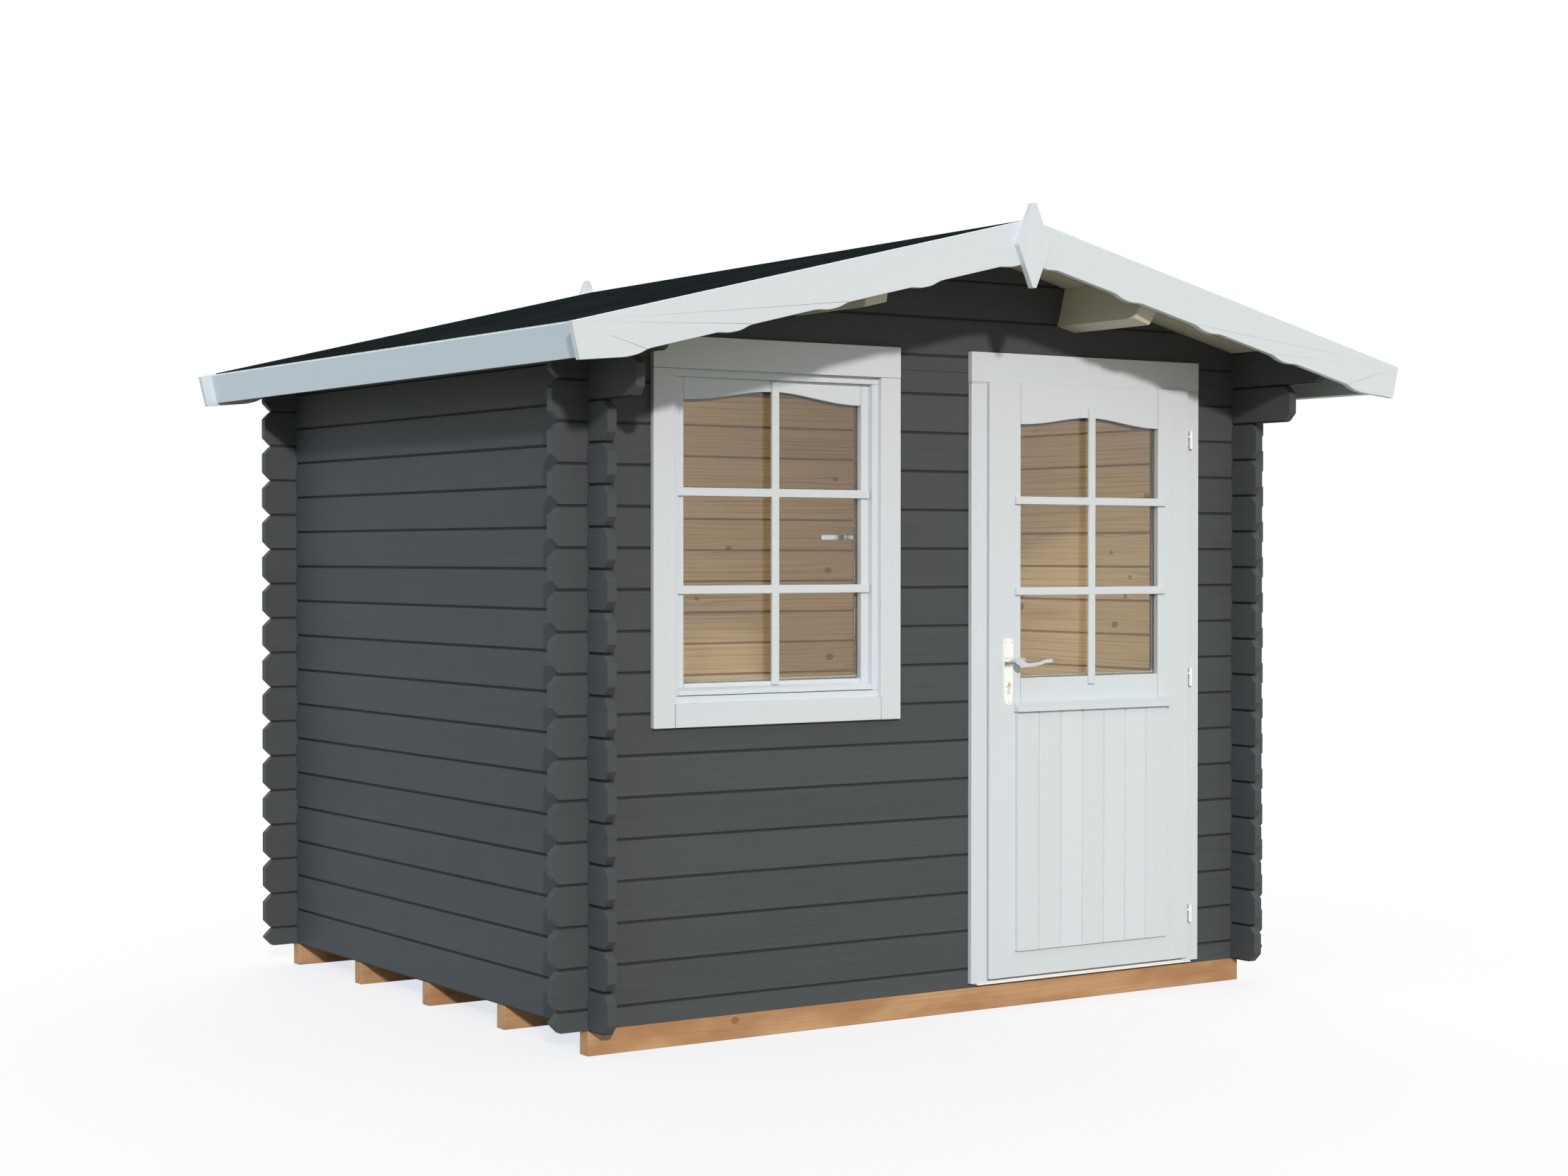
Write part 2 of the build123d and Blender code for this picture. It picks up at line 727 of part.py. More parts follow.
def ogee(start, end, way):
    """Two equal arcs in the open line, both ends running along way."""
    middle = ((start[0] + end[0]) / 2, (start[1] + end[1]) / 2)
    TangentArc(start, middle, tangent=way)
    TangentArc(end, middle, tangent=(-way[0], -way[1]))


# Lever handle: one spindle, with a neck and an S-curved arm on each side
neck_foot = plate_thickness + neck_clearance
spindle_length = leaf_thickness + 2 * neck_foot
half_root = arm_root / 2
waist_x = handle_x + arm_waist
waist_z = handle_z - arm_dip
tip_x = handle_x + lever_reach - arm_tip
with BuildPart() as door_lever:
    with Locations((handle_x, (leaf_face_y + leaf_back_y) / 2, handle_z)):
        Box(spindle, spindle_length, spindle)
    for face, out in ((leaf_face_y, -1), (leaf_back_y, 1)):
        neck_start, neck_end = face + out * neck_foot, face + out * lever_stand
        with BuildSketch(Plane.XZ.offset(-max(neck_start, neck_end))):
            with Locations((handle_x, handle_z)):
                Circle(neck_radius)
        extrude(amount=lever_stand - neck_foot)
        with BuildSketch(Plane.XZ.offset(-max(neck_end - out * arm_thickness, neck_end))):
            with BuildLine():
                root_top = (handle_x + neck_radius, handle_z - arm_root_drop + half_root)
                root_low = (handle_x + neck_radius, handle_z - arm_root_drop - half_root)
                waist_top = (waist_x, waist_z + arm_height / 2)
                waist_low = (waist_x, waist_z - arm_height / 2)
                tip_top = (tip_x, handle_z + arm_height / 2)
                tip_low = (tip_x, handle_z - arm_height / 2)
                TangentArc(waist_top, root_top, tangent=(-1, 0))
                ogee(waist_top, tip_top, (1, 0))
                nose_top = (handle_x + lever_reach, handle_z + arm_height / 2 - arm_tip)
                nose_low = (handle_x + lever_reach, handle_z - arm_height / 2 + arm_tip)
                Polyline(tip_top, nose_top, nose_low, tip_low)
                ogee(waist_low, tip_low, (1, 0))
                Line(waist_low, root_low)
                Polyline(root_low, (handle_x - neck_radius, handle_z), root_top)
            make_face()
        extrude(amount=arm_thickness)
finish(door_lever, "door_lever")

# Lift-off hinges: a pin barrel bolted to the casing, and the leaf's barrel turning on its pin
hinge_x = leaf_high_x + hinge_reach
hinge_y = (leaf_face_y + lip_back_y) / 2
half_hinge = hinge_height / 2
hinge_low_z = leaf_low_z + hinge_from_bottom
hinge_high_z = leaf_high_z - hinge_from_top
hinge_levels = [hinge_low_z, (hinge_low_z + hinge_high_z) / 2, hinge_high_z]
pin_height = half_hinge - hinge_pin_short
with BuildPart() as hinge_pins:
    for z in hinge_levels:
        with Locations((hinge_x, hinge_y, z - half_hinge)):
            Cylinder(hinge_radius, half_hinge - hinge_seat, align=(Align.CENTER, Align.CENTER, Align.MIN))
            Cylinder(hinge_pin_radius, half_hinge + pin_height, align=(Align.CENTER, Align.CENTER, Align.MIN))
        bolt_z = z - hinge_bolt_level - hinge_bolt
        box_between((hinge_x - hinge_bolt / 2, hinge_y, bolt_z),
                    (hinge_x + hinge_bolt / 2, casing_y, bolt_z + hinge_bolt))
finish(hinge_pins, "hinge_pins")
with BuildPart() as hinge_knuckles:
    for z in hinge_levels:
        with Locations((hinge_x, hinge_y, z)):
            Cylinder(hinge_radius, half_hinge, align=(Align.CENTER, Align.CENTER, Align.MIN))
        box_between((leaf_high_x, hinge_y - hinge_bolt / 2, z + hinge_bolt_level),
                    (hinge_x, hinge_y + hinge_bolt / 2, z + hinge_bolt_level + hinge_bolt))
        with Locations((hinge_x, hinge_y, z)):
            Cylinder(hinge_pin_radius + hinge_pin_clearance, pin_height + hinge_seat,
                     align=(Align.CENTER, Align.CENTER, Align.MIN), mode=Mode.SUBTRACT)
finish(hinge_knuckles, "hinge_knuckles")
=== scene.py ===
import math
from collections import namedtuple

import bmesh
import bpy
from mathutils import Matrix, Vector


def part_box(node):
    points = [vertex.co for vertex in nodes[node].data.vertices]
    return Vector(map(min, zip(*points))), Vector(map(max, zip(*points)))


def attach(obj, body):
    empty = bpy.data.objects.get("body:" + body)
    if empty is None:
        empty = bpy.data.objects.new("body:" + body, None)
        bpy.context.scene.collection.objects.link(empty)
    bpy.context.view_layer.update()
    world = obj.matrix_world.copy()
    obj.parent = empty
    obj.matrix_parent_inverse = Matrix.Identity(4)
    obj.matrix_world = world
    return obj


# Garden shed of interlocking logs: finishes, small fittings, light and camera.
# Metres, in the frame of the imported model.

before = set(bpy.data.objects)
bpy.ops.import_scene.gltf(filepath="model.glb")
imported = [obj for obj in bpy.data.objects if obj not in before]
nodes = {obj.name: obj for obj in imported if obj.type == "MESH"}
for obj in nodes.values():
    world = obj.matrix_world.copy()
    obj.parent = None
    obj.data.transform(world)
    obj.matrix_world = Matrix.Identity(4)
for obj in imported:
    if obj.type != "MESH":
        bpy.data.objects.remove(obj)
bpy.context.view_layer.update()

# Places read from the frame
left_low, left_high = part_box("left_wall")
right_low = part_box("right_wall")[0]
front_low, front_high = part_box("front_wall_left")
rear_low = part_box("rear_wall")[0]
leaf_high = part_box("door_leaf")[1]
door_light_low, door_light_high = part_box("door_glass")
sash_low, sash_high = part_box("window_sash")
sash_light_low, sash_light_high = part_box("window_glass")
casing_low, casing_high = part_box("window_casing")
panel_low, panel_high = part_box("door_panel")
plate_low, plate_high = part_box("door_plates")
threshold_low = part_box("threshold")[0]
sill_low, sill_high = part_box("door_sill")
floor_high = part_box("floor")[1]
ridge_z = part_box("roof_felt_left")[1].z

# Logs
SIDE_COURSES = 17
LOG_PITCH = (left_high.z - left_low.z) / SIDE_COURSES
GROOVE_DEPTH = 0.008

# Widths of boards, and of the felt's upper sheets
ROOF_BOARD = 0.095
FLOOR_BOARD = 0.095
PANEL_BOARDS = 7
PANEL_BOARD = (panel_high.x - panel_low.x) / PANEL_BOARDS
FELT_SHEET = 0.62

# Boards of the window's casing: head, uprights and foot
HEAD_BOARD = 0.090
CASING_BOARD = 0.070
FOOT_BOARD = 0.066

# Half widths of the drawn joints, which are darkest up to LINE_CORE of that
# LOG_LINE: half width of the dark joint between logs, which is also painted shade in its groove
LOG_LINE = 0.005
ROOF_LINE = 0.003
FLOOR_LINE = 0.0025
LEAF_LINE = 0.0022
PANEL_LINE = 0.0016
LINE_CORE = 0.45

# A seam is strongest up to the first distance from its middle, and gone at the second
SEAM_CORE, SEAM_EDGE = 0.0006, 0.0018

# The felt's laps likewise
LAP_CORE, LAP_EDGE = 0.001, 0.004

ROOF_PITCH = math.radians(13.67)

# The painted shade round a pane reaches this far past it, and its darker part starts this high over its
# foot
REBATE_SHADE_REACH = 0.002
SILL_BEAD = 0.012

# The room's own faces, with the grooves between its logs
ROOM_LOW = Vector((left_high.x - GROOVE_DEPTH, front_high.y - GROOVE_DEPTH, floor_high.z - 0.001))
ROOM_HIGH = Vector((right_low.x + GROOVE_DEPTH, rear_low.y + GROOVE_DEPTH, ridge_z))

# Camera, as the photograph was taken
CAMERA_PLACE = (-4.7437, -7.1286, 1.3584)
CAMERA_YAW = 0.587933
CAMERA_PITCH = -0.011883
CAMERA_ROLL = -0.000266
CAMERA_LENS = 60.99
SENSOR_WIDTH = 36.0


def srgb(r, g, b):
    """Linear colour from the eight-bit values that a screen shows."""
    def linear(c):
        c /= 255
        return c / 12.92 if c <= 0.04045 else ((c + 0.055) / 1.055) ** 2.4
    return (linear(r), linear(g), linear(b), 1.0)


# Colours of wood and paint
PINE_LIGHT = srgb(214, 191, 151)
PINE_DARK = srgb(152, 122, 84)
PINE_KNOT = srgb(98, 62, 38)
PINE_LINE = srgb(92, 62, 38)
JOIST_LIGHT = srgb(208, 168, 128)
JOIST_DARK = srgb(156, 108, 70)
# Dark brown of the door's sill: painted shade, the shadow line under the threshold's lip
SILL_SHADE_LIGHT = srgb(92, 60, 36)
SILL_SHADE_DARK = srgb(60, 36, 20)
LOG_PAINT = srgb(74, 78, 81)
# Side walls' paint: cooler and darker than the front's, as painted shade and cool sky light
SIDE_LOG_SHADED_PAINT = srgb(68, 74, 79)
LOG_PAINT_WORN = srgb(80, 85, 89)
# Dark joint between logs, also painted shade in the V groove
LOG_GROOVE_SHADE = srgb(28, 30, 30)
WHITE_PAINT = srgb(215, 222, 230)
# Grey of dark joints in white paint, also painted shade at the foot of the rebate behind a pane
WHITE_JOINT_AND_SHADE = srgb(132, 132, 128)
# Bluer white on the fascias, which face the side: painted cool sky light
FASCIA_PAINTED_SKY_LIGHT = srgb(207, 221, 235)
# Whiter paint on the threshold and its lip, partly a painted highlight of sunlight
THRESHOLD_PAINT_AND_HIGHLIGHT = srgb(248, 251, 255)
SOFFIT_PAINT = srgb(214, 211, 196)
SOFFIT_LINE = srgb(64, 60, 52)

# Colours of felt, glass and metal. GLASS_SHADE is what the panes leave of the light that lights the room.
FELT_DARK = srgb(20, 24, 25)
FELT_GRIT = srgb(48, 54, 56)
# A seal's dark colour behind a pane, which also paints the shade in the rebate
GLAZING_SEAL_SHADE = srgb(84, 74, 66)
GLASS_TINT = (0.94, 0.97, 0.96, 1.0)
GLASS_SHADE = (0.71, 0.74, 0.73, 1.0)
# The duller metal colours are brush marks, and painted shade on faces that look down
PLATE_BRIGHT = srgb(255, 254, 246)
PLATE_DULL_SHADE = srgb(232, 231, 222)
LEVER_BRIGHT = srgb(216, 219, 223)
LEVER_DULL_SHADE = srgb(112, 114, 118)
LOCK_BRIGHT = srgb(226, 225, 218)
LOCK_DULL_SHADE = srgb(150, 150, 146)
HINGE_BRIGHT = srgb(248, 250, 252)
HINGE_DULL_SHADE = srgb(206, 208, 206)
# Keyhole colours paint the shade inside it
KEYHOLE_SHADE_DARK = srgb(26, 26, 26)
KEYHOLE_SHADE_LIGHT = srgb(52, 50, 48)

# Grain of sawn boards, which differs from board to board by this shift for each unit of tone
BOARD_SHIFT = 53.7

# Knots: cells to a metre, the random number above which a cell has one, radii, and width to length
KNOTS_ALONG, KNOTS_ACROSS = 2.1, 8.0
KNOT_CHANCE = 0.55
KNOT_SMALL, KNOT_LARGE = 0.004, 0.012
KNOT_STRETCH = 0.75

# Streaks by a knot bend away from it by BEND_SHARE of their distance. At BEND_ALONG or BEND_ACROSS from it
# BEND_BASE of that is left.
BEND_SHARE = 0.8
BEND_ALONG, BEND_ACROSS = 0.075, 0.022
BEND_BASE = 0.37

# Streaks: how fast they drift, how far, and how fast they change, to a metre
DRIFT_ALONG, DRIFT_ACROSS = 0.9, 6.0
DRIFT_REACH = 0.022
STREAKS_ALONG, STREAKS_ACROSS = 1.2, 170.0

# Seeds of the boards' tones. The logs use the foot of their lowest whole log.
WHITE_SEED, BARE_SEED, ROOF_SEED = 3.0, 5.0, 7.0

# How strongly tones, knots and joints show
BARE_TONE_SHARE = 0.28
BARE_KNOT_SHARE = 0.62
BARE_RIM_SHARE = 0.6
PAINTED_RIM_SHARE = 0.35
BARE_JOINT_SHARE = 0.7
PANEL_JOINT_SHARE = 0.4
SEAM_SHARE = 0.6
LAP_SHARE = 0.8
LOG_WEAR_SHARE = 0.2
BARE_CLOUD_SHARE = 0.6
FELT_CLOUD_SHARE = 0.25

Grain = namedtuple("Grain", "streaks knot rim tone")


# Shader helpers

def add_node(tree, kind, inputs=None, **settings):
    """New shader node with its settings, and its inputs set to values or linked to sockets."""
    made = tree.nodes.new(kind)
    for key, value in settings.items():
        setattr(made, key, value)
    for key, value in (inputs or {}).items():
        if isinstance(value, bpy.types.NodeSocket):
            tree.links.new(value, made.inputs[key])
        else:
            made.inputs[key].default_value = value
    return made


def calc(tree, operation, a, b=0.0, c=0.0):
    """Result of a Math node."""
    return add_node(tree, "ShaderNodeMath", {0: a, 1: b, 2: c}, operation=operation).outputs[0]


def times(tree, first, *others):
    """Product of numbers or sockets."""
    for other in others:
        first = calc(tree, "MULTIPLY", first, other)
    return first


def minus(tree, a, b):
    """Difference of two numbers or sockets."""
    return calc(tree, "SUBTRACT", a, b)


def blend(tree, factor, a, b, kind="MIX"):
    """Colour a turned into colour b by a factor."""
    mixed = add_node(tree, "ShaderNodeMix", {0: factor, 6: a, 7: b}, data_type="RGBA", blend_type=kind)
    return mixed.outputs[2]


def combine(tree, x, y, z):
    """Vector from three numbers or sockets."""
    return add_node(tree, "ShaderNodeCombineXYZ", {0: x, 1: y, 2: z}).outputs[0]


def noise(tree, place, scale=1.0, detail=2.0, roughness=0.5):
    """Value of a noise texture at a place."""
    return add_node(tree, "ShaderNodeTexNoise", {"Vector": place, "Scale": scale, "Detail": detail,
                                                 "Roughness": roughness}).outputs[0]


def smooth(tree, value, low, high, out_low=0.0, out_high=1.0):
    """Value mapped smoothly from one range onto another."""
    return add_node(tree, "ShaderNodeMapRange", {0: value, 1: low, 2: high, 3: out_low, 4: out_high},
                    interpolation_type="SMOOTHSTEP").outputs[0]


def random_tone(tree, index, seed):
    """Number from 0 to 1 for each board or log."""
    return add_node(tree, "ShaderNodeTexWhiteNoise", {"Vector": combine(tree, index, seed, 0.0)},
                    noise_dimensions="3D").outputs["Value"]


def in_range(tree, value, low, high):
    """1 where a value lies between two limits."""
    away = calc(tree, "ABSOLUTE", minus(tree, value, (low + high) / 2))
    return calc(tree, "LESS_THAN", away, (high - low) / 2)


def joint_lines(tree, steps, pitch, half_width):
    """1 on the joints at whole steps of a pitch, fading towards the edges of the line."""
    away = times(tree, calc(tree, "PINGPONG", steps, 0.5), pitch)
    return smooth(tree, away, half_width * LINE_CORE, half_width, 1.0, 0.0)


def seam(tree, value, at):
    """Strength of a thin joint between two boards, where a coordinate has this value."""
    away = calc(tree, "ABSOLUTE", minus(tree, value, at))
    return smooth(tree, away, SEAM_CORE, SEAM_EDGE, SEAM_SHARE, 0.0)


def seen_rays(tree):
    """1 on rays that the camera sends straight, by reflection or through glass, and 0 on light."""
    path = add_node(tree, "ShaderNodeLightPath")
    seen = calc(tree, "MAXIMUM", path.outputs["Is Camera Ray"], path.outputs["Is Glossy Ray"])
    return calc(tree, "MAXIMUM", seen, path.outputs["Is Transmission Ray"])


class Finish:
    """Material being made: its tree, its main shader, and the place on the object in metres."""

    def __init__(self, name):
        self.material = bpy.data.materials.new(name)
        self.material.use_nodes = True
        self.tree = self.material.node_tree
        self.shader = self.tree.nodes["Principled BSDF"]
        self.place = add_node(self.tree, "ShaderNodeTexCoord").outputs["Object"]
        parts = add_node(self.tree, "ShaderNodeSeparateXYZ", {0: self.place})
        self.x, self.y, self.z = parts.outputs

    def in_room(self):
        """1 on faces that the room sees, with the grooves between its logs."""
        return times(self.tree,
                     in_range(self.tree, self.x, ROOM_LOW.x, ROOM_HIGH.x),
                     in_range(self.tree, self.y, ROOM_LOW.y, ROOM_HIGH.y),
                     in_range(self.tree, self.z, ROOM_LOW.z, ROOM_HIGH.z))

    def panel_steps(self):
        """Place across the door, in boards of its panel."""
        return calc(self.tree, "DIVIDE", minus(self.tree, self.x, panel_low.x), PANEL_BOARD)

    def set(self, **values):
        """Numbers and colours that are the same all over the surface, by the shader's own names."""
        for key, value in values.items():
            self.shader.inputs[key.replace("_", " ")].default_value = value

    def colour(self, socket):
        self.tree.links.new(socket, self.shader.inputs["Base Color"])

    def relief(self, height, depth, strength):
        bump = add_node(self.tree, "ShaderNodeBump",
                        {"Height": height, "Distance": depth, "Strength": strength})
        self.tree.links.new(bump.outputs[0], self.shader.inputs["Normal"])


def sawn_grain(tree, along, across, depth, tone):
    """Grain of the board that has this tone: streaks run along it and bend round its knots."""
    shift = times(tree, tone, BOARD_SHIFT)
    cell = combine(tree, calc(tree, "MULTIPLY_ADD", along, KNOTS_ALONG, shift),
                   calc(tree, "MULTIPLY_ADD", across, KNOTS_ACROSS, shift), 0.0)
    spots = add_node(tree, "ShaderNodeTexVoronoi", {"Vector": cell, "Scale": 1.0}, voronoi_dimensions="2D")
    offset = add_node(tree, "ShaderNodeVectorMath", {0: cell, 1: spots.outputs["Position"]},
                      operation="SUBTRACT")
    offset = add_node(tree, "ShaderNodeSeparateXYZ", {0: offset.outputs[0]})
    from_along = calc(tree, "DIVIDE", offset.outputs[0], KNOTS_ALONG)
    from_across = calc(tree, "DIVIDE", offset.outputs[1], KNOTS_ACROSS)
    chance = add_node(tree, "ShaderNodeSeparateColor", {0: spots.outputs["Color"]}).outputs[0]
    present = calc(tree, "GREATER_THAN", chance, KNOT_CHANCE)

    reach = calc(tree, "ADD", calc(tree, "POWER", calc(tree, "DIVIDE", from_along, BEND_ALONG), 2.0),
                 calc(tree, "POWER", calc(tree, "DIVIDE", from_across, BEND_ACROSS), 2.0))
    pull = times(tree, calc(tree, "POWER", BEND_BASE, reach), present)
    bent = minus(tree, across, times(tree, pull, from_across, BEND_SHARE))
    drift = noise(tree, combine(tree, calc(tree, "MULTIPLY_ADD", along, DRIFT_ALONG, shift),
                                times(tree, across, DRIFT_ACROSS), shift), detail=1.0)
    line = calc(tree, "MULTIPLY_ADD", drift, DRIFT_REACH, bent)
    streaks = noise(tree, combine(tree, calc(tree, "MULTIPLY_ADD", along, STREAKS_ALONG, shift),
                                  times(tree, line, STREAKS_ACROSS), times(tree, depth, STREAKS_ACROSS)),
                    detail=3.0, roughness=0.66)

    stretched = combine(tree, times(tree, from_along, KNOT_STRETCH), from_across, 0.0)
    round_away = add_node(tree, "ShaderNodeVectorMath", {0: stretched}, operation="LENGTH").outputs["Value"]
    past = minus(tree, round_away, smooth(tree, chance, 0.5, 1.0, KNOT_SMALL, KNOT_LARGE))
    knot = times(tree, smooth(tree, past, -0.002, 0.001, 1.0, 0.0), present)
    rim = times(tree, smooth(tree, calc(tree, "ABSOLUTE", past), 0.0004, 0.0024, 1.0, 0.0), present)
    return Grain(streaks, knot, rim, tone)


def bare_colour(tree, grain, light=PINE_LIGHT, dark=PINE_DARK, streak_share=0.7):
    """Colour of unpainted wood: its streaks, its knots, and a tone for each board."""
    body = blend(tree, times(tree, smooth(tree, grain.streaks, 0.42, 0.70), streak_share), light, dark)
    body = blend(tree, times(tree, grain.tone, BARE_TONE_SHARE), body, dark)
    body = blend(tree, times(tree, grain.knot, BARE_KNOT_SHARE), body, PINE_KNOT)
    return blend(tree, times(tree, grain.rim, BARE_RIM_SHARE), body, PINE_KNOT)


def painted_colour(tree, grain, paint, tone_share, grain_share):
    """Paint over wood, through which each board's tone and its grain show a little."""
    shade = calc(tree, "MULTIPLY_ADD", minus(tree, grain.tone, 0.5), tone_share, 1.0)
    shade = minus(tree, shade, times(tree, minus(tree, grain.streaks, 0.5), grain_share))
    shade = minus(tree, shade, times(tree, grain.rim, grain_share * PAINTED_RIM_SHARE))
    grey = add_node(tree, "ShaderNodeCombineColor", {0: shade, 1: shade, 2: shade}).outputs[0]
    return blend(tree, 1.0, paint, grey, "MULTIPLY")


# Materials

def log_material(name, first_joint, coat, groove_shade_share):
    """Logs: dark paint outside, bare pine in the room.

    first_joint is the foot of the lowest whole log, in logs; the share argument sets how strongly the joint
    lines show, which are dark joints and painted shade in the grooves. A coat darker than the front's
    paints shade, and log ends in front of the front wall are lighter, as painted light.
    """
    made = Finish(name)
    tree = made.tree
    foot = left_low.z + first_joint * LOG_PITCH
    steps = calc(tree, "DIVIDE", minus(tree, made.z, foot), LOG_PITCH)
    tone = random_tone(tree, calc(tree, "FLOOR", steps), first_joint)
    run = calc(tree, "ADD", made.x, made.y)
    grain = sawn_grain(tree, run, made.z, 0.0, tone)
    line = joint_lines(tree, steps, LOG_PITCH, LOG_LINE)
    cloud = noise(tree, combine(tree, times(tree, run, 2.5), times(tree, made.z, 7.0), tone))

    # Painted light: log ends in front of the front wall get the front wall's lighter paint
    lit_ahead = calc(tree, "LESS_THAN", made.y, front_low.y)
    coat = blend(tree, lit_ahead, coat, LOG_PAINT)
    paint = painted_colour(tree, grain, coat, tone_share=0.10, grain_share=0.40)
    worn = times(tree, smooth(tree, cloud, 0.40, 0.70), LOG_WEAR_SHARE)
    paint = blend(tree, worn, paint, LOG_PAINT_WORN)
    # Dark joints, also painted shade in the grooves between logs
    paint = blend(tree, times(tree, line, groove_shade_share), paint, LOG_GROOVE_SHADE)
    pine = blend(tree, times(tree, line, BARE_JOINT_SHARE), bare_colour(tree, grain), PINE_LINE)
    made.colour(blend(tree, made.in_room(), paint, pine))
    made.set(Roughness=0.62, Specular_IOR_Level=0.2)
    made.relief(grain.streaks, depth=0.0012, strength=0.35)
    return made.material


def white_grain(made, along, across, depth, index=1.0):
    """Grain of a board that is painted white."""
    return sawn_grain(made.tree, along, across, depth, random_tone(made.tree, index, WHITE_SEED))


def white_colour(made, grain, white=WHITE_PAINT):
    """White paint over a board's grain."""
    return painted_colour(made.tree, grain, white, tone_share=0.04, grain_share=0.11)


def white_finish(made, colour, grain):
    """Painted wood's gloss and relief round its colour."""
    made.colour(colour)
    made.set(Roughness=0.42, Specular_IOR_Level=0.4)
    made.relief(grain.streaks, depth=0.0008, strength=0.25)
    return made.material


def trim_material(name, axis, white=WHITE_PAINT):
    """White paint with its grain along one axis, and bare pine where the room sees it."""
    made = Finish(name)
    places = {"x": (made.x, made.z, made.y), "y": (made.y, made.z, made.x), "z": (made.z, made.x, made.y)}
    grain = white_grain(made, *places[axis])
    paint = white_colour(made, grain, white)
    pine = bare_colour(made.tree, grain)
    return white_finish(made, blend(made.tree, made.in_room(), paint, pine), grain)


def barge_material():
    """White paint with its grain down the roof's slope, on both sides of the ridge."""
    made = Finish("barge_paint")
    tree = made.tree
    out = calc(tree, "ABSOLUTE", made.x)
    rise, run = math.sin(ROOF_PITCH), math.cos(ROOF_PITCH)
    along = calc(tree, "MULTIPLY_ADD", out, run, times(tree, made.z, -rise))
    across = calc(tree, "MULTIPLY_ADD", out, rise, times(tree, made.z, run))
    grain = white_grain(made, along, across, made.y, calc(tree, "SIGN", made.x))
    return white_finish(made, white_colour(made, grain), grain)


def casing_material():
    """White boards round the openings, with joints under the head board and at the lower board's ends."""
    made = Finish("casing_paint")
    tree = made.tree
    head_z, foot_z = casing_high.z - HEAD_BOARD, casing_low.z + FOOT_BOARD
    left_x, right_x = casing_low.x + CASING_BOARD, casing_high.x - CASING_BOARD
    head = calc(tree, "GREATER_THAN", made.z, head_z)
    low_down = calc(tree, "LESS_THAN", made.z, foot_z)
    foot = times(tree, low_down, in_range(tree, made.x, left_x, right_x))
    level = calc(tree, "MAXIMUM", head, foot)
    upright = minus(tree, 1.0, level)
    along = calc(tree, "ADD", times(tree, made.x, level), times(tree, made.z, upright))
    across = calc(tree, "ADD", times(tree, made.z, level), times(tree, made.x, upright))
    grain = white_grain(made, along, across, made.y)
    seams = seam(tree, made.z, head_z)
    for at in (left_x, right_x):
        seams = calc(tree, "MAXIMUM", seams, times(tree, seam(tree, made.x, at), low_down))
    return white_finish(made, blend(tree, seams, white_colour(made, grain), WHITE_JOINT_AND_SHADE), grain)


def glazed_material(name, light_low, light_high, back, joint_foot):
    """White leaf or sash round its pane, with a seal's dark colour and grey as painted shade in the rebate
    behind the pane, and a back of bare wood.

    light_low and light_high are the pane's corners, and back is the y of the piece's back face. Joints run
    beside the pane above joint_foot, and between the boards of the back below it.
    """
    made = Finish(name)
    tree = made.tree
    grain = white_grain(made, made.z, made.x, made.y)
    steps = made.panel_steps()
    boards = times(tree, joint_lines(tree, steps, PANEL_BOARD, LEAF_LINE),
                   in_range(tree, steps, -0.5, PANEL_BOARDS + 0.5),
                   in_range(tree, made.z, panel_low.z, joint_foot))
    pine = blend(tree, times(tree, boards, BARE_JOINT_SHARE), bare_colour(tree, grain), PINE_LINE)
    behind = calc(tree, "GREATER_THAN", made.y, light_high.y)
    colour = blend(tree, behind, white_colour(made, grain), pine)

    seams = calc(tree, "MAXIMUM", seam(tree, made.x, light_low.x), seam(tree, made.x, light_high.x))
    seams = times(tree, seams, calc(tree, "GREATER_THAN", made.z, joint_foot))
    colour = blend(tree, seams, colour, WHITE_JOINT_AND_SHADE)

    # Painted shade in the rebate round the pane: the seal's dark colour on the sides and top, grey at the
    # foot
    rebate = times(tree, in_range(tree, made.x, light_low.x - REBATE_SHADE_REACH, light_high.x + REBATE_SHADE_REACH),
                   in_range(tree, made.y, light_high.y - REBATE_SHADE_REACH, back - 0.0001),
                   in_range(tree, made.z, light_low.z - REBATE_SHADE_REACH, light_high.z))
    above_bead = calc(tree, "GREATER_THAN", made.z, light_low.z + SILL_BEAD)
    rebate_shade = blend(tree, above_bead, WHITE_JOINT_AND_SHADE, GLAZING_SEAL_SHADE)
    return white_finish(made, blend(tree, rebate, colour, rebate_shade), grain)


def panel_material():
    """White boards of the door's panel, each with its own grain."""
    made = Finish("panel_paint")
    tree = made.tree
    steps = made.panel_steps()
    grain = white_grain(made, made.z, made.x, made.y, calc(tree, "FLOOR", steps))
    line = times(tree, joint_lines(tree, steps, PANEL_BOARD, PANEL_LINE),
                 in_range(tree, steps, 0.5, PANEL_BOARDS - 0.5))
    colour = blend(tree, times(tree, line, PANEL_JOINT_SHARE), white_colour(made, grain), WHITE_JOINT_AND_SHADE)
    return white_finish(made, colour, grain)


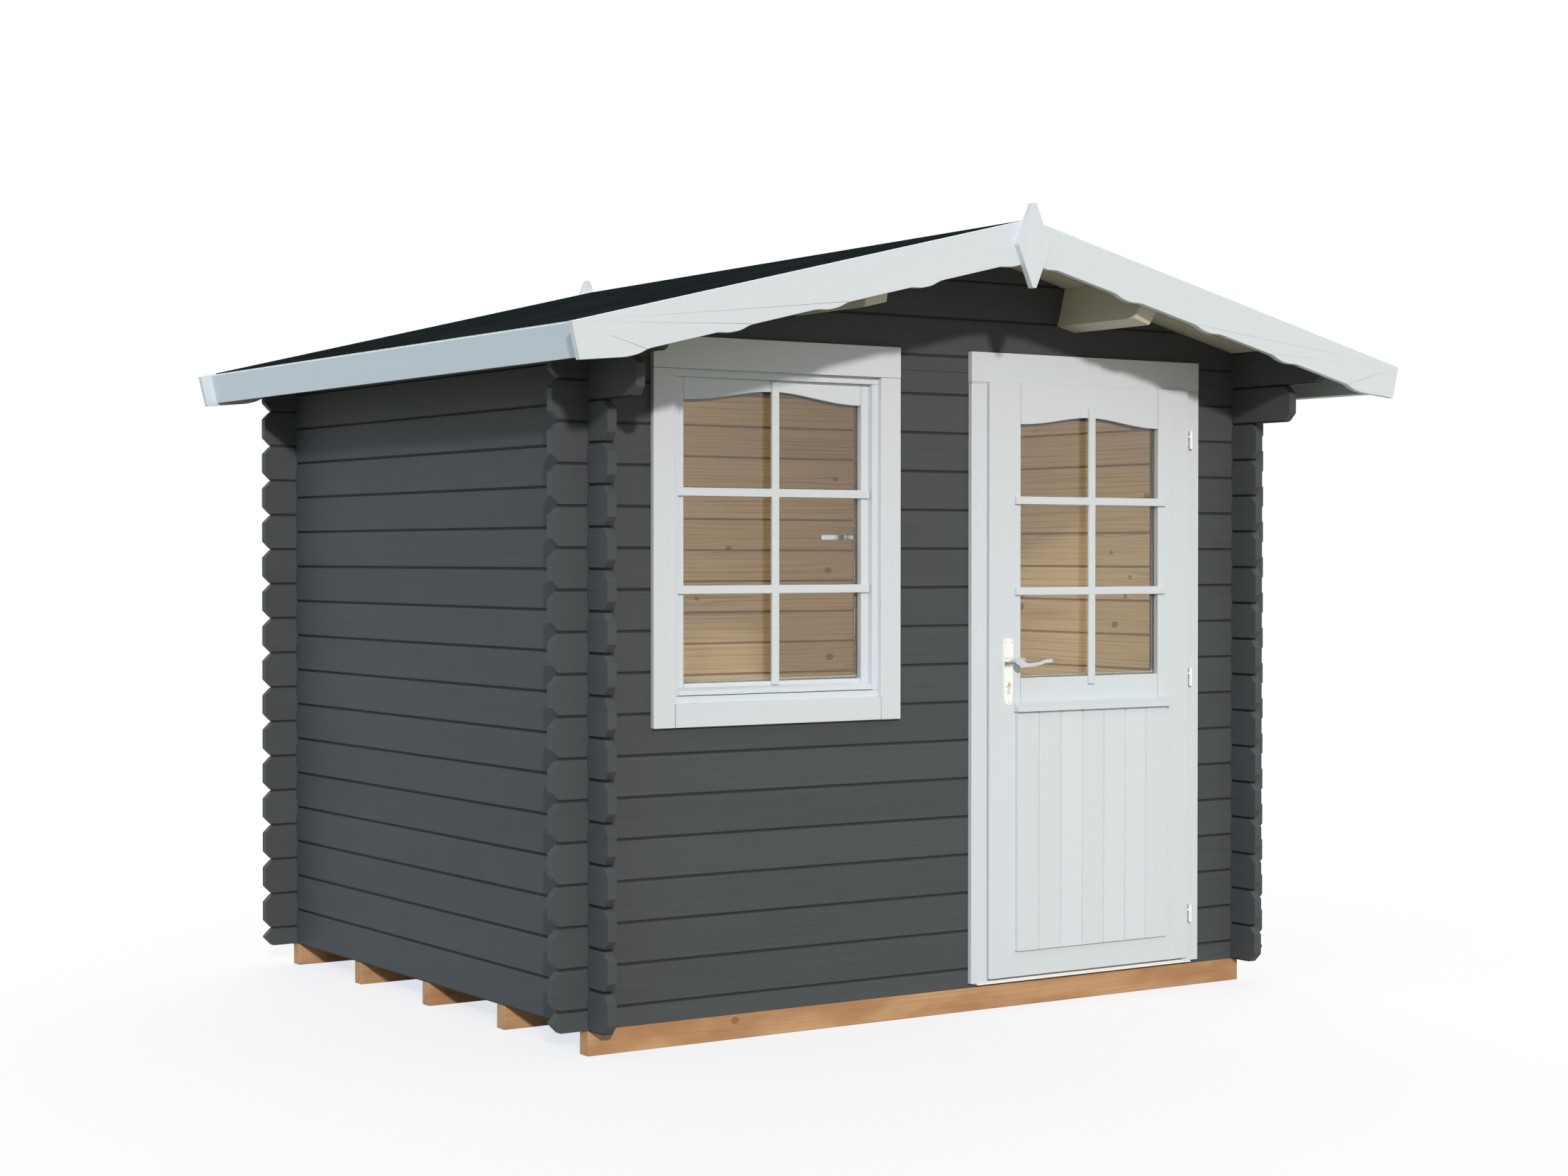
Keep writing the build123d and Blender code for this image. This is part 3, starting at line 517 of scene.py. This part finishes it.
def bare_material(name, light, dark, streak_share, board=None):
    """Unpainted wood with its grain along x. A board's width cuts it into boards with dark joints."""
    made = Finish(name)
    tree = made.tree
    steps = calc(tree, "DIVIDE", made.y, board) if board else 0.0
    tone = random_tone(tree, calc(tree, "FLOOR", steps), BARE_SEED)
    across = calc(tree, "ADD", made.y, made.z)
    grain = sawn_grain(tree, made.x, across, 0.0, tone)
    cloud = noise(tree, combine(tree, times(tree, made.x, 4.0), times(tree, across, 11.0), tone))
    colour = bare_colour(tree, grain, light, dark, streak_share)
    colour = blend(tree, times(tree, smooth(tree, cloud, 0.38, 0.64), BARE_CLOUD_SHARE), colour, dark)
    if board:
        line = joint_lines(tree, steps, board, FLOOR_LINE)
        colour = blend(tree, times(tree, line, BARE_JOINT_SHARE), colour, PINE_LINE)
    made.colour(colour)
    made.set(Roughness=0.6, Specular_IOR_Level=0.3)
    made.relief(grain.streaks, depth=0.001, strength=0.35)
    return made.material


def roof_board_material():
    """Roof boards: white paint under the overhangs, bare pine in the room, a groove between boards."""
    made = Finish("roof_board_paint")
    tree = made.tree
    steps = calc(tree, "DIVIDE", made.y, ROOF_BOARD)
    tone = random_tone(tree, calc(tree, "FLOOR", steps), ROOF_SEED)
    grain = sawn_grain(tree, made.x, made.y, 0.0, tone)
    paint = painted_colour(tree, grain, SOFFIT_PAINT, tone_share=0.06, grain_share=0.16)
    colour = blend(tree, made.in_room(), paint, bare_colour(tree, grain))
    line = joint_lines(tree, steps, ROOF_BOARD, ROOF_LINE)
    made.colour(blend(tree, times(tree, line, BARE_JOINT_SHARE), colour, SOFFIT_LINE))
    made.set(Roughness=0.5)
    made.relief(grain.streaks, depth=0.0008, strength=0.25)
    return made.material


def felt_material():
    """Roofing felt: mineral grit, a faint cloudiness, and the laps of sheets that run along the roof."""
    made = Finish("mineral_felt")
    tree = made.tree
    grit = noise(tree, made.place, scale=620.0)
    cloud = noise(tree, made.place, scale=3.2, detail=3.0)
    colour = blend(tree, smooth(tree, grit, 0.44, 0.72), FELT_DARK, FELT_GRIT)
    colour = blend(tree, times(tree, smooth(tree, cloud, 0.40, 0.70), FELT_CLOUD_SHARE), colour, FELT_GRIT)
    from_ridge = calc(tree, "ABSOLUTE", made.x)
    lap = calc(tree, "GREATER_THAN", from_ridge, FELT_SHEET)
    from_lap = calc(tree, "ABSOLUTE", minus(tree, from_ridge, FELT_SHEET))
    edge = smooth(tree, from_lap, LAP_CORE, LAP_EDGE, LAP_SHARE, 0.0)
    made.colour(blend(tree, edge, colour, FELT_DARK))
    made.set(Roughness=0.95, Specular_IOR_Level=0.0)
    made.relief(minus(tree, grit, lap), depth=0.0012, strength=0.6)
    return made.material


def glass_material():
    """Clear window glass that lets light through to the room."""
    made = Finish("clear_glass")
    tree = made.tree
    made.set(Base_Color=GLASS_TINT, Roughness=0.0, IOR=1.52, Transmission_Weight=1.0)
    clear = add_node(tree, "ShaderNodeBsdfTransparent", {0: GLASS_SHADE})
    path = add_node(tree, "ShaderNodeLightPath")
    mixed = add_node(tree, "ShaderNodeMixShader", {
        0: path.outputs["Is Shadow Ray"], 1: made.shader.outputs[0], 2: clear.outputs[0]})
    tree.links.new(mixed.outputs[0], tree.nodes["Material Output"].inputs["Surface"])
    return made.material


def metal_material(name, bright, dull_and_shade, roughness, metallic=1.0):
    """Satin or painted metal with fine brush marks, and painted shade that darkens the faces that look
    down.
    """
    made = Finish(name)
    tree = made.tree
    facing = add_node(tree, "ShaderNodeTexCoord").outputs["Normal"]
    upwards = add_node(tree, "ShaderNodeSeparateXYZ", {0: facing}).outputs[2]
    # Painted shade: faces that look down take the duller colour
    underside_shade = smooth(tree, upwards, -0.75, 0.05, 1.0, 0.0)
    brushed = noise(tree, combine(tree, times(tree, made.x, 60.0), times(tree, made.y, 60.0),
                                  times(tree, made.z, 900.0)))
    worn = calc(tree, "MAXIMUM", underside_shade, smooth(tree, brushed, 0.35, 0.75, 0.0, 0.25))
    made.colour(blend(tree, worn, bright, dull_and_shade))
    uneven = smooth(tree, brushed, 0.2, 0.8, roughness * 0.8, roughness * 1.25)
    tree.links.new(uneven, made.shader.inputs["Roughness"])
    made.set(Metallic=metallic)
    return made.material


def keyhole_shade_material():
    """Painted shade of a keyhole's inside, on a thin dark strip."""
    made = Finish("keyhole_painted_shade")
    speck = noise(made.tree, made.place, scale=300.0)
    made.colour(blend(made.tree, speck, KEYHOLE_SHADE_DARK, KEYHOLE_SHADE_LIGHT))
    made.set(Roughness=0.6)
    return made.material


# The side walls' coat is painted shade: cooler and darker than the gable walls' paint
side_logs_shaded = log_material("side_log_painted_shade", first_joint=0.0, coat=SIDE_LOG_SHADED_PAINT, groove_shade_share=0.95)
gable_logs = log_material("gable_log_paint", first_joint=0.5, coat=LOG_PAINT, groove_shade_share=0.60)
trim_x = trim_material("white_paint_level", "x")
# Fascia paint with painted cool sky light
fascia_painted_sky_light = trim_material("fascia_painted_sky_light", "y", FASCIA_PAINTED_SKY_LIGHT)
trim_z = trim_material("white_paint_upright", "z")
purlin_paint = trim_material("purlin_paint", "y", SOFFIT_PAINT)
threshold_paint_and_highlight = trim_material("threshold_paint_and_highlight", "x", THRESHOLD_PAINT_AND_HIGHLIGHT)
barge_paint = barge_material()
casing_paint = casing_material()
leaf_paint = glazed_material("leaf_paint", door_light_low, door_light_high, leaf_high.y, panel_high.z)
sash_paint = glazed_material("sash_paint", sash_light_low, sash_light_high, sash_high.y, sash_low.z)
panel_paint = panel_material()
roof_boards = roof_board_material()
floor_wood = bare_material("floor_pine", PINE_LIGHT, PINE_DARK, streak_share=0.7, board=FLOOR_BOARD)
joist_wood = bare_material("joist_pine", JOIST_LIGHT, JOIST_DARK, streak_share=0.4)
# Painted shade: the door's sill is dark brown for the shadow line under the threshold
sill_painted_shade = bare_material("sill_pine_painted_shade", SILL_SHADE_LIGHT, SILL_SHADE_DARK, streak_share=0.7)
felt = felt_material()
glass = glass_material()
bright_metal = metal_material("plate_metal", PLATE_BRIGHT, PLATE_DULL_SHADE, roughness=0.24)
lever_metal = metal_material("lever_metal", LEVER_BRIGHT, LEVER_DULL_SHADE, roughness=0.16)
lock_metal = metal_material("lock_metal", LOCK_BRIGHT, LOCK_DULL_SHADE, roughness=0.30)
hinge_metal = metal_material("hinge_paint", HINGE_BRIGHT, HINGE_DULL_SHADE, roughness=0.38, metallic=0.0)
keyhole_painted_shade = keyhole_shade_material()

BARGES = ["barge_front_left", "barge_front_right", "barge_rear_left", "barge_rear_right"]
JOISTS = ["joist_1", "joist_2", "joist_3", "joist_4", "joist_5"]
GABLE_WALLS = ["front_wall_left", "front_wall_right", "front_gable", "rear_wall"]
SIDE_WALLS = ["left_wall", "right_wall"]
FINISHES = {
    side_logs_shaded: SIDE_WALLS,
    gable_logs: GABLE_WALLS,
    barge_paint: BARGES,
    casing_paint: ["window_casing", "door_casing"],
    trim_x: ["window_sill", "window_bars", "door_bars", "door_drip"],
    threshold_paint_and_highlight: ["threshold"],
    fascia_painted_sky_light: ["fascia_left", "fascia_right"],
    purlin_paint: ["purlin_left", "purlin_right"],
    trim_z: ["finial_front", "finial_rear", "window_frame", "door_frame"],
    leaf_paint: ["door_leaf"],
    sash_paint: ["window_sash"],
    panel_paint: ["door_panel"],
    roof_boards: ["roof_boards_left", "roof_boards_right"],
    floor_wood: ["floor"],
    joist_wood: JOISTS,
    sill_painted_shade: ["door_sill"],
    felt: ["roof_felt_left", "roof_felt_right"],
    glass: ["window_glass", "door_glass"],
    bright_metal: ["door_plates"],
    lever_metal: ["door_lever", "window_lever"],
    hinge_metal: ["hinge_pins", "hinge_knuckles"],
}
for material, names in FINISHES.items():
    for name in names:
        nodes[name].data.materials.clear()
        nodes[name].data.materials.append(material)


# Eased edges, which catch the light

def welding_nodes():
    """Modifier that joins an imported piece's faces along their edges, so that the edges can be eased."""
    tree = bpy.data.node_groups.new("welded_faces", "GeometryNodeTree")
    for way in ("INPUT", "OUTPUT"):
        tree.interface.new_socket("Geometry", in_out=way, socket_type="NodeSocketGeometry")
    piece = tree.nodes.new("NodeGroupInput").outputs[0]
    merged = add_node(tree, "GeometryNodeMergeByDistance", {"Geometry": piece, "Distance": 0.00001})
    plain = add_node(tree, "GeometryNodeRemoveAttribute",
                     {"Geometry": merged.outputs[0], "Name": "custom_normal"})
    add_node(tree, "NodeGroupOutput", {0: plain.outputs[0]})
    return tree


# Widths of the eased edges
EASED = {
    0.0016: SIDE_WALLS + GABLE_WALLS + BARGES + JOISTS + [
        "door_sill", "fascia_left", "fascia_right", "finial_front", "finial_rear", "purlin_left",
        "purlin_right", "window_frame", "window_sash", "window_sill", "door_leaf", "door_drip"],
    0.0022: ["window_bars", "door_bars", "window_casing", "door_casing"],
    0.0008: ["door_panel", "threshold", "door_frame"],
    0.0004: ["door_plates"],
    0.0030: ["window_lever"],
}
EASED_FROM = math.radians(32)
welding = welding_nodes()
for width, names in EASED.items():
    for name in names:
        joined = nodes[name].modifiers.new("welded", "NODES")
        joined.node_group = welding
        eased = nodes[name].modifiers.new("eased", "BEVEL")
        eased.width = width
        eased.segments = 2
        eased.limit_method = "ANGLE"
        eased.angle_limit = EASED_FROM
        eased.harden_normals = True
        eased.use_clamp_overlap = False


# Fittings

BEAD_RADIUS = 0.0045
ARCH_STEPS = 24
DOOR_ARCH, WINDOW_ARCH = 0.024, 0.028


def new_piece(name, mesh, material, body):
    """Object of the scene that moves with a body and takes its finish from a slot."""
    mesh.materials.append(material)
    made = bpy.data.objects.new(name, mesh)
    bpy.context.scene.collection.objects.link(made)
    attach(made, body)
    return made


def shaped_piece(name, shape, material, body):
    """Piece whose faces were put together one by one."""
    bmesh.ops.recalc_face_normals(shape, faces=shape.faces)
    mesh = bpy.data.meshes.new(name)
    shape.to_mesh(mesh)
    shape.free()
    return new_piece(name, mesh, material, body)


def glazing_bead(name, light_low, light_high, rise, material, body):
    """Thin round strip on the room side of a pane, which follows the opening and the rise of its arch."""
    left, right = light_low.x + BEAD_RADIUS, light_high.x - BEAD_RADIUS
    low, crown = light_low.z + BEAD_RADIUS, light_high.z - BEAD_RADIUS
    shoulder = crown - rise
    route = [(right, low), (right, shoulder)]
    for k in range(1, ARCH_STEPS):
        t = k / ARCH_STEPS
        route.append((right + (left - right) * t, shoulder + rise * math.sin(math.pi * t) ** 2))
    route += [(left, shoulder), (left, low)]
    curve = bpy.data.curves.new(name, "CURVE")
    curve.dimensions = "3D"
    curve.bevel_depth = BEAD_RADIUS
    curve.bevel_resolution = 2
    spline = curve.splines.new("POLY")
    spline.points.add(len(route) - 1)
    for point, (px, pz) in zip(spline.points, route):
        point.co = (px, light_high.y + BEAD_RADIUS, pz, 1.0)
    spline.use_cyclic_u = True
    holder = bpy.data.objects.new(name + "_route", curve)
    mesh = bpy.data.meshes.new_from_object(holder)
    bpy.data.objects.remove(holder)
    return new_piece(name, mesh, material, body)


def turned(name, rings, centre, material, body, sides=32):
    """Small turned fitting on a face that looks to the front. Rings are (radius, height off the face)."""
    shape = bmesh.new()
    loops = []
    for radius, height in rings:
        corners = [2 * math.pi * k / sides for k in range(sides)]
        loops.append([shape.verts.new((centre[0] + radius * math.cos(a), centre[1] - height,
                                       centre[2] + radius * math.sin(a))) for a in corners])
    for near, far in zip(loops, loops[1:]):
        for k in range(sides):
            shape.faces.new((near[k], near[(k + 1) % sides], far[(k + 1) % sides], far[k]))
    shape.faces.new(loops[-1])
    return shaped_piece(name, shape, material, body)


def rounded_strip(name, centre_x, half_width, low_z, high_z, y, thickness, material, body):
    """Thin upright strip with round ends on a face that looks to the front."""
    steps = 8
    outline = []
    for end_z, start in ((high_z - half_width, 0.0), (low_z + half_width, math.pi)):
        for k in range(steps + 1):
            a = start + math.pi * k / steps
            outline.append((centre_x + half_width * math.cos(a), end_z + half_width * math.sin(a)))
    shape = bmesh.new()
    back = [shape.verts.new((px, y, pz)) for px, pz in outline]
    front = [shape.verts.new((px, y - thickness, pz)) for px, pz in outline]
    count = len(outline)
    for k in range(count):
        shape.faces.new((back[k], back[(k + 1) % count], front[(k + 1) % count], front[k]))
    shape.faces.new(front)
    return shaped_piece(name, shape, material, body)


def plain_box(name, low, high, material, body):
    """Box between two corners."""
    shape = bmesh.new()
    bmesh.ops.create_cube(shape, size=1.0)
    for vert in shape.verts:
        vert.co = [(b + a) / 2 + (b - a) * place for a, b, place in zip(low, high, vert.co)]
    return shaped_piece(name, shape, material, body)


glazing_bead("door_bead", door_light_low, door_light_high, DOOR_ARCH, leaf_paint, "door")
glazing_bead("window_bead", sash_light_low, sash_light_high, WINDOW_ARCH, sash_paint, "building")

# The threshold's nose turns down in front of the sill, below the casing's feet
LIP_DROP = 0.0045
LIP_PAST_SILL, LIP_SHORT_OF_SILL = 0.008, 0.002
LIP_LOW = (sill_low.x - LIP_PAST_SILL, threshold_low.y, threshold_low.z - LIP_DROP)
LIP_HIGH = (sill_high.x - LIP_SHORT_OF_SILL, sill_low.y - 0.0002, threshold_low.z - 0.0001)
plain_box("threshold_lip", LIP_LOW, LIP_HIGH, threshold_paint_and_highlight, "building")

# Outer handle plate: places are measured from its middle and from the lever's axis
PLATE_X = (plate_low.x + plate_high.x) / 2
PLATE_FACE = plate_low.y
LEVER_DROP = 0.067
LEVER_Z = plate_high.z - LEVER_DROP
SCREW_PLACES = [(-0.012, 0.057), (0.012, 0.057), (0.0, -0.122)]
SCREW_HEAD = [(0.0034, 0.0), (0.0034, 0.0004), (0.0022, 0.0011), (0.0006, 0.0012)]
LOCK_DROP = 0.072
LOCK_RIM = [(0.0085, 0.0), (0.0085, 0.0014), (0.0078, 0.0020), (0.0055, 0.0020)]
TONGUE_HALF_WIDTH, TONGUE_FOOT, TONGUE_TOP, TONGUE_DEPTH = 0.005, 0.100, 0.074, 0.0019
KEYHOLE_HALF_WIDTH, KEYHOLE_FOOT, KEYHOLE_TOP, KEYHOLE_DEPTH = 0.0011, 0.0765, 0.0675, 0.0004
for number, (right_by, up_by) in enumerate(SCREW_PLACES):
    turned(f"plate_screw_{number + 1}", SCREW_HEAD, (PLATE_X + right_by, PLATE_FACE, LEVER_Z + up_by),
           lock_metal, "door", sides=20)
turned("lock_cylinder", LOCK_RIM, (PLATE_X, PLATE_FACE, LEVER_Z - LOCK_DROP), lock_metal, "door")
rounded_strip("lock_tongue", PLATE_X, TONGUE_HALF_WIDTH, LEVER_Z - TONGUE_FOOT, LEVER_Z - TONGUE_TOP,
              PLATE_FACE, TONGUE_DEPTH, lock_metal, "door")
# The keyhole is a thin dark strip: painted shade where a hole would be
rounded_strip("keyhole", PLATE_X, KEYHOLE_HALF_WIDTH, LEVER_Z - KEYHOLE_FOOT, LEVER_Z - KEYHOLE_TOP,
              PLATE_FACE - TONGUE_DEPTH, KEYHOLE_DEPTH, keyhole_painted_shade, "door")

# Stage and light
FLOOR_SIZE = 60.0
FLOOR_COLOUR = (0.30, 0.265, 0.19, 1.0)
FLOOR_GLOW_COLOUR = (0.90, 0.93, 1.0, 1.0)
FLOOR_GLOW = 0.79
SKY_LIGHT = (0.57, 0.60, 0.60, 1.0)
SEEN_WHITE = (1.0, 1.0, 1.0, 1.0)
ROOM_LAMP_SIZE = 0.5
ROOM_LAMP_WATTS = 10.5
ROOM_LAMP_COLOUR = (1.0, 0.94, 0.84)
ROOM_LAMP_PLACE = (-0.75, -0.45, 1.75)
ROOM_LAMP_BACK = (-0.9, -0.8, 0.35)


def pale_floor():
    """Wide floor under the shed, which keeps the shadow and is seen pale by the camera."""
    bpy.ops.mesh.primitive_plane_add(size=FLOOR_SIZE)
    ground = bpy.context.object
    ground.name = "ground"
    pale = bpy.data.materials.new("pale_floor")
    pale.use_nodes = True
    tree = pale.node_tree
    base = tree.nodes["Principled BSDF"]
    base.inputs["Base Color"].default_value = FLOOR_COLOUR
    base.inputs["Roughness"].default_value = 0.9
    base.inputs["Specular IOR Level"].default_value = 0.0
    level = times(tree, seen_rays(tree), FLOOR_GLOW)
    glow = add_node(tree, "ShaderNodeEmission", {0: FLOOR_GLOW_COLOUR, 1: level})
    both = add_node(tree, "ShaderNodeAddShader", {0: base.outputs[0], 1: glow.outputs[0]})
    tree.links.new(both.outputs[0], tree.nodes["Material Output"].inputs["Surface"])
    ground.data.materials.append(pale)


def soft_sky():
    """Cool sky light, and white where it is seen."""
    world = bpy.data.worlds.new("soft_sky")
    bpy.context.scene.world = world
    world.use_nodes = True
    tree = world.node_tree
    sky = blend(tree, seen_rays(tree), SKY_LIGHT, SEEN_WHITE)
    tree.links.new(sky, tree.nodes["Background"].inputs[0])


def placed_lamp(name, kind, towards, colour):
    """Lamp whose back is turned towards a direction."""
    lamp = bpy.data.lights.new(name, kind)
    lamp.color = colour
    holder = bpy.data.objects.new(name, lamp)
    bpy.context.scene.collection.objects.link(holder)
    holder.rotation_euler = Vector(towards).to_track_quat("Z", "Y").to_euler()
    return holder


def sun_lamp(name, azimuth, height, level, colour, spread):
    """Distant lamp. azimuth is in degrees left of the front, level the light on a face square to it."""
    azimuth, height = math.radians(azimuth), math.radians(height)
    flat = math.cos(height)
    towards = (-math.sin(azimuth) * flat, -math.cos(azimuth) * flat, math.sin(height))
    lamp = placed_lamp(name, "SUN", towards, colour).data
    lamp.energy = level * math.pi
    lamp.angle = math.radians(spread)


def room_lamp():
    """Soft panel under the roof by the front wall, which lights the room's far walls and isn't seen."""
    holder = placed_lamp("room_light", "AREA", ROOM_LAMP_BACK, ROOM_LAMP_COLOUR)
    holder.data.shape = "SQUARE"
    holder.data.size = ROOM_LAMP_SIZE
    holder.data.energy = ROOM_LAMP_WATTS
    holder.location = ROOM_LAMP_PLACE
    holder.visible_camera = False
    holder.visible_glossy = False
    holder.visible_transmission = False


pale_floor()
soft_sky()
sun_lamp("low_sun", azimuth=26, height=18.5, level=0.69, colour=(1.0, 0.935, 0.865), spread=3)
sun_lamp("left_fill", azimuth=75, height=35, level=0.12, colour=(0.25, 0.64, 1.0), spread=45)
sun_lamp("rear_fill", azimuth=-145, height=35, level=0.42, colour=(0.95, 0.97, 1.0), spread=60)
room_lamp()

# Camera
lens = bpy.data.cameras.new("photo_camera")
lens.sensor_width = SENSOR_WIDTH
lens.lens = CAMERA_LENS
camera = bpy.data.objects.new("photo_camera", lens)
bpy.context.scene.collection.objects.link(camera)
camera.location = CAMERA_PLACE
camera.rotation_euler = (math.pi / 2 + CAMERA_PITCH, CAMERA_ROLL, -CAMERA_YAW)
bpy.context.scene.camera = camera
bpy.context.scene.view_settings.view_transform = "Standard"
